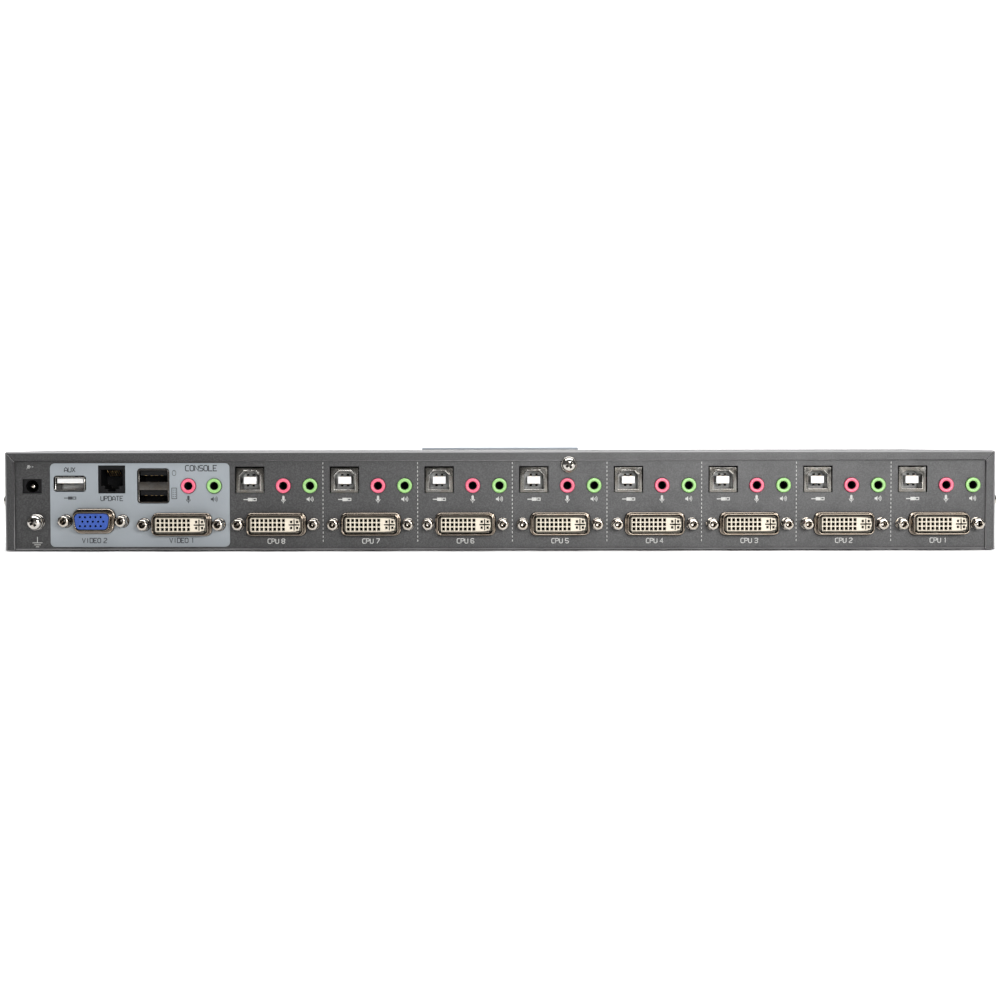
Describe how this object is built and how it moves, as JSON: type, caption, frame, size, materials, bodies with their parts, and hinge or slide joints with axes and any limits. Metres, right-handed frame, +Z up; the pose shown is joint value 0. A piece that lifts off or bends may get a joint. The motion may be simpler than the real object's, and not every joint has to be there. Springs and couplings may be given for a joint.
{
  "type": "kvm switch",
  "caption": "Flat rack-width case with rows of video, USB and audio sockets at the back and a raised row of selector buttons at the front.",
  "frame": {"origin": "middle of the case's underside, on the surface it stands on", "axes": "+Z up, +Y towards the connector panel, +X towards the console connectors"},
  "size_m": [0.441, 0.1724, 0.0453],
  "materials": {
    "case_paint": "fine-textured dark grey powder coat",
    "bezel_plastic": "fine matt moulded texture",
    "housing_plastic": "satin blue-grey moulding",
    "plate_film": "light blue-grey printed film",
    "board_green": "solder mask",
    "standoff_brass": "turned",
    "screw_steel": "nickel plated",
    "shell_nickel": "nickel plated, satin",
    "nut_nickel": "nickel plated",
    "ribbon_grey": "flat cable",
    "chip_epoxy": "moulded epoxy",
    "heatsink_black": "black anodised",
    "capacitor_can": "sleeved can",
    "switch_black": "moulded",
    "led_white": "diffused lens",
    "guide_clear": "clear light guide",
    "tongue_white": "moulded",
    "jack_pink": "moulded",
    "jack_green": "moulded",
    "insert_cream": "moulded",
    "insert_blue": "moulded",
    "socket_black": "moulded",
    "button_grey": "satin moulding",
    "reset_black": "moulded"
  },
  "bodies": {
    "case": {"chassis_tray": "case_paint", "top_cover": "case_paint", "front_bezel": "bezel_plastic", "button_housing": "housing_plastic", "console_plate": "plate_film", "main_board": "board_green", "upper_board": "board_green", "front_board": "board_green", "board_standoffs": "standoff_brass", "board_screws": "screw_steel", "ribbon_cable": "ribbon_grey", "switch_chips": "chip_epoxy", "heatsinks": "heatsink_black", "capacitors": "capacitor_can", "tact_switches": "switch_black", "indicator_leds": "led_white", "light_guides": "guide_clear", "usb_b_shells": "shell_nickel", "usb_b_tongues": "tongue_white", "mic_jacks": "jack_pink", "speaker_jacks": "jack_green", "vga_shell": "shell_nickel", "vga_insert": "insert_blue", "jackscrews": "nut_nickel", "usb_stack_shell": "shell_nickel", "usb_stack_tongues": "socket_black", "device_usb_shell": "shell_nickel", "device_usb_tongue": "tongue_white", "service_jack": "socket_black", "dc_jack": "socket_black", "dc_jack_pin": "nut_nickel", "case_screws": "screw_steel", "ground_screw": "screw_steel", "console_dvi_shell": "shell_nickel", "console_dvi_insert": "insert_cream", "dvi_shell_1": "shell_nickel", "dvi_insert_1": "insert_cream", "dvi_shell_2": "shell_nickel", "dvi_insert_2": "insert_cream", "dvi_shell_3": "shell_nickel", "dvi_insert_3": "insert_cream", "dvi_shell_4": "shell_nickel", "dvi_insert_4": "insert_cream", "dvi_shell_5": "shell_nickel", "dvi_insert_5": "insert_cream", "dvi_shell_6": "shell_nickel", "dvi_insert_6": "insert_cream", "dvi_shell_7": "shell_nickel", "dvi_insert_7": "insert_cream", "dvi_shell_8": "shell_nickel", "dvi_insert_8": "insert_cream"},
    "button_1": {"port_button_1": "button_grey"},
    "button_2": {"port_button_2": "button_grey"},
    "button_3": {"port_button_3": "button_grey"},
    "button_4": {"port_button_4": "button_grey"},
    "button_5": {"port_button_5": "button_grey"},
    "button_6": {"port_button_6": "button_grey"},
    "button_7": {"port_button_7": "button_grey"},
    "button_8": {"port_button_8": "button_grey"},
    "reset": {"reset_button": "reset_black"}
  },
  "joints": [
    {"name": "button_1_press", "type": "slide", "parent": "case", "child": "button_1", "axis": [0, 1, 0], "range_m": [0, 0.0005], "stiffness_N_per_m": 800},
    {"name": "button_2_press", "type": "slide", "parent": "case", "child": "button_2", "axis": [0, 1, 0], "range_m": [0, 0.0005], "stiffness_N_per_m": 800},
    {"name": "button_3_press", "type": "slide", "parent": "case", "child": "button_3", "axis": [0, 1, 0], "range_m": [0, 0.0005], "stiffness_N_per_m": 800},
    {"name": "button_4_press", "type": "slide", "parent": "case", "child": "button_4", "axis": [0, 1, 0], "range_m": [0, 0.0005], "stiffness_N_per_m": 800},
    {"name": "button_5_press", "type": "slide", "parent": "case", "child": "button_5", "axis": [0, 1, 0], "range_m": [0, 0.0005], "stiffness_N_per_m": 800},
    {"name": "button_6_press", "type": "slide", "parent": "case", "child": "button_6", "axis": [0, 1, 0], "range_m": [0, 0.0005], "stiffness_N_per_m": 800},
    {"name": "button_7_press", "type": "slide", "parent": "case", "child": "button_7", "axis": [0, 1, 0], "range_m": [0, 0.0005], "stiffness_N_per_m": 800},
    {"name": "button_8_press", "type": "slide", "parent": "case", "child": "button_8", "axis": [0, 1, 0], "range_m": [0, 0.0005], "stiffness_N_per_m": 800},
    {"name": "reset_press", "type": "slide", "parent": "case", "child": "reset", "axis": [0, 1, 0], "range_m": [0, 0.0005], "stiffness_N_per_m": 800}
  ]
}
